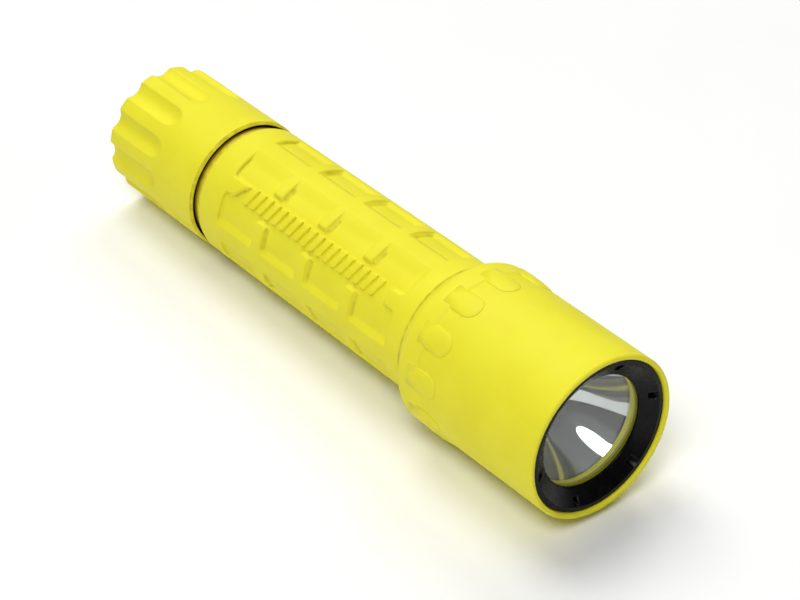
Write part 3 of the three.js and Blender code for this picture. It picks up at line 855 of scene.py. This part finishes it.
def lug(degrees):
    """A thumb-shaped lug: domed across, round in front, and cut off square where it meets the collar."""
    rear, length, half, foot, top = 32.9, 7.5, 2.4, 15.875, 16.49
    shares = (1.0, 1.0, 0.985, 0.95, 0.9, 0.83, 0.74, 0.63, 0.5, 0.35, 0.18)
    sweep = np.linspace(-math.pi / 2, math.pi / 2, 41)
    rings, wear_and_shade_rings = [], []
    for level, share in enumerate(shares):
        rise = (1 - share**2) ** 0.62 if level else 0
        radius = foot - 0.5 if level == 0 else foot + (top - foot) * rise
        nose = length - half - 0.55 * (1 - share) * length
        forwards = np.concatenate([[0], nose + half * share * np.cos(sweep), [0], np.zeros(11)])
        across = np.concatenate([[-half * share], half * share * np.sin(sweep), [half * share]])
        across = np.concatenate([across, np.linspace(half * share, -half * share, 13)[1:-1]])
        trim = 0.2 * (1 - share)
        rings.append(point(rear - forwards - trim, radius, math.radians(degrees) + across / foot))
        # painted shade round the lug's foot, paler wear on its shoulders
        wear_and_shade_rings.append(np.full(len(across), -0.6 if level < 3 else 0.5 if level < 6 else 0.0))
    return crowned(rings, wear_and_shade_rings, point(rear - 0.3 * length, top, math.radians(degrees)))


def bezel():
    return turned(
        [
            (0.06, 15.02, 0.08), (0, 15.6, 0.12), (0.32, 15.875, 0.35), (30.4, 15.875, 0),
            (30.75, 15.95, 0), (31.1, 16.15, 0.6), (34.75, 16.15, 0.9), (35.6, 15.85, 0.7), (36, 15.1, 0.1),
            (36, 14.45, 0.1), (29.1, 14.45, 0.2), (28.4, 13.55, 0.2), (5.1, 13.55, 0.1), (5.1, 10.95, 0.05),
            (4.15, 10.95, 0.05), (4.15, 12.85, 0.05), (4.85, 12.85, 0.05), (4.85, 13.75, 0.05),
            (4.15, 13.75, 0.05), (4.15, 14.85, 0.1), (0.4, 14.85, 0.1),
        ],
        sides=ROUND * 3 // 2,
    )


build(
    "head_bezel", [bezel(), *map(lug, LUG_ANGLES), thread(32.85, 1.5, 14.45, 13.8)],
    YELLOW, "head", ["bezel_shell"],
)


def lens_ring():
    """The black ring, with its six notches sunk in the cone."""
    outline = [
        (0.6, 14.66, 0.1), (0.55, 13.8, 0.05), (0.72, 13.6, 0.12), (2.35, 11.15, 0.1), (2.6, 10.85, 0.1),
        (2.95, 10.85, 0.06), (2.95, 14.66, 0.1),
    ]
    lines = [0.8, 0.95, 1.1, 1.3, 1.5, 1.56, 1.6, 1.64, 1.7, 1.85, 2.0, 2.2]
    rows = np.array(refined(rounded(outline), lines, (0.7, 11.0), (2.4, 13.7)))
    notches, half = [20.5 + 60 * k for k in range(6)], 0.62

    def spacing(angle):
        nearest = min(abs(turn_from(np.radians(angle), n)) for n in notches)
        return 0.16 if abs(nearest - math.degrees(half / 13)) < 0.45 else 1.6

    angles = np.radians(lines_between(-180, 180, spacing)[:-1])
    back = np.broadcast_to(rows[:, 0:1], (len(rows), len(angles))).copy()
    radius = np.broadcast_to(rows[:, 1:2], back.shape)
    nearest = np.min([np.abs(turn_from(angles, n)) for n in notches], axis=0)
    side = np.radians(nearest)[None, :] * radius
    cone = (rows[:, 0:1] > 0.65) & (rows[:, 0:1] < 2.5) & (radius > 11.0)
    cut = smoothstep((half - side) / 0.08 + 0.5) * (cone & (radius > 12.25) & (radius < 13.62))
    back = back + cut * (2.5 - back)
    return grid(back, radius, angles, np.broadcast_to(rows[:, 2:3], back.shape))


build("lens_ring", [lens_ring()], BLACK_PLASTIC, "head", ["retaining_ring"])
build(
    "lens_disc", [turned([(3.05, 0), (3.05, 14.6, 0.15), (4.05, 14.6, 0.15), (4.05, 0)], 0.15)],
    LENS_GLASS, "head", ["lens"],
)
build("lens_seal", [torus(4.5, 13.3, 0.31)], SEAL_RUBBER, "head", ["lens_gasket"])

# ---- the tail cap ----

CAP_RADIUS = 13.27


def cap():
    outline = [
        (101.3, 12.72, 0.06), (101.3, 12.9, 0.06), (101.85, CAP_RADIUS, 0.12), (127.4, CAP_RADIUS, 0),
        (128.1, 13.17, 0), (128.7, 12.92, 0), (129.15, 12.5, 0), (129.4, 12.0, 0), (129.48, 11.5, 0),
        (129.5, 10.9, 0), (129.5, 8.2, 0.2), (128.6, 7.6, 0.2), (128.6, 6.6, 0.2), (126.55, 6.6, 0.1),
        (126.55, 10.6, 0.3), (113.9, 10.6, 0.2), (113.9, 12.25, 0.1), (104.6, 12.25, 0.1),
        (104.2, 12.72, 0.1),
    ]
    nose, depth, cutter, parting = 113.3, 1.0, 2.3, 106.6
    flute_step = 30

    def spacing(x):
        if abs(x - parting) < 0.25:
            return 0.06
        if nose - 0.3 < x < nose + 3.4:
            return 0.16
        return 0.2 if x > 126.3 else 1.0

    lines = lines_between(102.2, 129.4, spacing)
    rows = np.array(refined(rounded(outline), lines, (101.5, 10.3), (129.6, 13.3)))
    angles = even(ROUND * 3)
    radius = np.broadcast_to(rows[:, 1:2], (len(rows), len(angles))).copy()
    wear_and_shade = np.broadcast_to(rows[:, 2:3], radius.shape).copy()
    outside = (rows[:, 0] > 102.0) & (rows[:, 1] > 10.85)
    back = rows[outside, 0:1]
    half_step = flute_step / 2
    turn = np.radians((np.degrees(angles) + half_step) % flute_step - half_step)[None, :]
    grow = np.clip((back - nose) / 3.2, 0, 1)
    tool = cutter * np.sqrt(1 - (1 - grow) ** 2)
    centre = CAP_RADIUS - depth + cutter
    inside = tool**2 - (centre * np.sin(turn)) ** 2
    floor = np.where(inside > 0, centre * np.cos(turn) - np.sqrt(np.maximum(inside, 0)), 99.0)
    before = radius[outside]
    # the flutes run out over the rear corner, so the rear edge is lobed
    fluted = smooth_min(np.full(floor.shape, CAP_RADIUS), floor, 1.3)
    after = before - (CAP_RADIUS - fluted) * smoothstep((before - 10.9) / 1.2)
    groove = 0.07 * np.exp(-(((back - parting) / 0.09) ** 2))
    radius[outside] = after - groove
    # paler wear where the surface stands out, painted shade where it sinks in, as in the flutes, and a darker
    # parting line
    wear_and_shade[outside] += curvature_wear_and_shade(after, 14.0) - 4.0 * groove
    wear_and_shade = np.clip(wear_and_shade, -1, 1)
    # the front bevel and the bore of the mouth are tinted with painted shade, the bore most, towards the
    # painted gap shade
    wear_and_shade[(rows[:, 0] < 101.84) & (rows[:, 1] > 12.75)] = -1.2
    wear_and_shade[(rows[:, 0] < 105.0) & (rows[:, 1] < 12.75)] = -1.7
    return grid(np.broadcast_to(rows[:, 0:1], radius.shape), radius, angles, wear_and_shade)


build(
    "cap_shell", [cap(), thread(108.35, 1.5, 12.25, 11.6)], YELLOW, "tail_cap", ["tail_cap_shell"],
)
boot_ring = turned([(123.7, 7.4), (123.7, 10.35), (125.3, 10.35), (125.3, 7.4)], sides=SMALL_ROUND * 2)
build("boot_ring", [boot_ring], NYLON, "tail_cap", ["boot_clamp_ring"])
rubber_button = turned(
    [
        (131.98, 0), (131.93, 1.4, 2), (131.6, 3.2, 3), (130.9, 5.0, 2), (129.7, 6.15, 1), (127.0, 6.3, 0.3),
        (126.45, 6.3, 0.15), (126.45, 10.3), (125.45, 10.3), (125.45, 5.6, 0.2), (130.0, 5.6, 0.4),
        (130.8, 4.6, 0.4), (130.95, 0),
    ],
    sides=SMALL_ROUND * 2,
)
build(
    "rubber_button", [rubber_button], BUTTON_RUBBER, "tail_cap", ["button_boot"],
    across=("button", 127.2, 130.6),
)
push_rod = turned(
    [
        (116.65, 0), (116.65, 4.6), (125.2, 4.6), (125.5, 5.3), (129.6, 5.3, 0.4), (130.5, 4.4, 0.4),
        (130.7, 0),
    ],
    sides=SMALL_ROUND,
)
build("push_rod", [push_rod], BLACK_PLASTIC, "button", ["plunger"])
build(
    "rod_guide", [turned([(118.1, 4.9), (118.1, 10.2), (123.5, 10.2), (123.5, 4.9)], 0.2, SMALL_ROUND * 2)],
    NYLON, "switch_carrier", ["switch_bush"],
)
switch_plate = turned(
    [
        (115.9, 0), (115.9, 9.0, 0.3), (115.6, 9.3, 0.2), (115.6, 10.0, 0.15), (116.1, 10.1, 0.2),
        (116.5, 9.8, 0.2), (116.5, 0),
    ],
    sides=SMALL_ROUND * 2,
)
build("switch_plate", [switch_plate], BRASS, "switch_disc", ["contact_disc"])
build(
    "coil_spring", [spring((115.8, 6.2), (108.0, 3.2), 3.5, 0.45)],
    SPRING_STEEL, "switch_carrier", ["tail_spring"], across=("switch_disc", 108.5, 115.3),
)

# ---- the stage ----

FLOOR_TOUCH_FRONT, FLOOR_TOUCH_REAR = 29.0, 127.0
LUG_RADIUS = 16.4985
FLOOR_HALF, FLOOR_DROP = 3.0, 0.00005  # metres
LIGHT_TARGET = (0, 0, 0.01)


def floor_finish():
    n = Nodes("pale_floor")
    shader = n.add("ShaderNodeBsdfPrincipled")
    tone = n.spread(n.noise(60), 0.3, 0.7, 0, 1)
    n.join(n.blend(tone, linear("fafaf9"), linear("fcfcfc")), shader.inputs["Base Color"])
    shader.inputs["Roughness"].default_value = 0.65
    shader.inputs["Specular IOR Level"].default_value = 0.2
    n.join(shader.outputs["BSDF"], n.output.inputs["Surface"])
    return n.material


def floor():
    """A pale floor under the lugs and the cap, so it slopes a little in the part's frame."""
    front = Vector((FRONT_X - FLOOR_TOUCH_FRONT * MM, 0, AXIS_Z - LUG_RADIUS * MM))
    rear = Vector((FRONT_X - FLOOR_TOUCH_REAR * MM, 0, AXIS_Z - CAP_RADIUS * MM))
    along = (front - rear).normalized()
    up = along.cross(Vector((0, 1, 0))).normalized()
    up = up if up.z > 0 else -up
    middle = front - up * FLOOR_DROP
    signs = ((-1, -1), (1, -1), (1, 1), (-1, 1))
    corners = [middle + (along * a + Vector((0, b, 0))) * FLOOR_HALF for a, b in signs]
    mesh = bpy.data.meshes.new("floor")
    mesh.from_pydata([tuple(c) for c in corners], [], [(0, 1, 2, 3)])
    mesh.materials.append(floor_finish())
    obj = bpy.data.objects.new("floor", mesh)
    bpy.context.scene.collection.objects.link(obj)


def area_light(name, place, size, power):
    """A round soft light, aimed at the torch."""
    data = bpy.data.lights.new(name, "AREA")
    data.shape = "DISK"
    data.size = size
    data.energy = power
    obj = bpy.data.objects.new(name, data)
    obj.location = place
    obj.rotation_mode = "QUATERNION"
    obj.rotation_quaternion = (Vector(LIGHT_TARGET) - Vector(place)).to_track_quat("-Z", "Y")
    bpy.context.scene.collection.objects.link(obj)


floor()
area_light("key", (0.456, -0.682, 1.134), 0.55, 7.4)
area_light("front", (0.73, -0.56, 1.05), 0.55, 2.6)
area_light("overhead", (-0.55, 0.05, 1.3), 0.8, 8.7)
area_light("back", (-0.45, 0.8, 1.1), 0.6, 4.5)


def studio_world(low, high, front):
    """A plain grey room: dim near the horizon, bright overhead, and darker in front of the torch."""
    world = bpy.data.worlds.new("studio")
    world.use_nodes = True
    tree = world.node_tree
    background = tree.nodes["Background"]
    place = tree.nodes.new("ShaderNodeTexCoord")
    split = tree.nodes.new("ShaderNodeSeparateXYZ")
    tree.links.new(place.outputs["Generated"], split.inputs["Vector"])

    def ramp(axis, start, end, at_start, at_end):
        node = tree.nodes.new("ShaderNodeMapRange")
        node.interpolation_type = "SMOOTHSTEP"
        for key, number in (("From Min", start), ("From Max", end), ("To Min", at_start), ("To Max", at_end)):
            node.inputs[key].default_value = number
        tree.links.new(split.outputs[axis], node.inputs["Value"])
        return node.outputs["Result"]

    product = tree.nodes.new("ShaderNodeMath")
    product.operation = "MULTIPLY"
    tree.links.new(ramp("Z", -0.1, 0.9, low, high), product.inputs[0])
    tree.links.new(ramp("X", 0.0, 0.7, 1.0, front), product.inputs[1])
    tree.links.new(product.outputs["Value"], background.inputs["Strength"])
    background.inputs["Color"].default_value = (1, 1, 1, 1)
    return world


bpy.context.scene.world = studio_world(0.03, 0.16, 0.4)
bpy.context.scene.view_settings.view_transform = "Standard"

# ---- the camera ----

CAMERA_PLACE = (0.35932, -0.27381, 0.33175)
CAMERA_RIGHT = (0.62566, 0.77998, -0.01324)
CAMERA_FORWARD = (-0.63944, 0.50306, -0.58143)

camera_data = bpy.data.cameras.new("camera")
camera_data.lens = 135
camera_data.sensor_width = 36
camera_data.clip_start = 0.01
camera = bpy.data.objects.new("camera", camera_data)
right = Vector(CAMERA_RIGHT).normalized()
forward = Vector(CAMERA_FORWARD).normalized()
up = right.cross(forward)
turn = Matrix((right, up, -forward)).transposed().to_4x4()
camera.matrix_world = Matrix.Translation(CAMERA_PLACE) @ turn
bpy.context.scene.collection.objects.link(camera)
bpy.context.scene.camera = camera
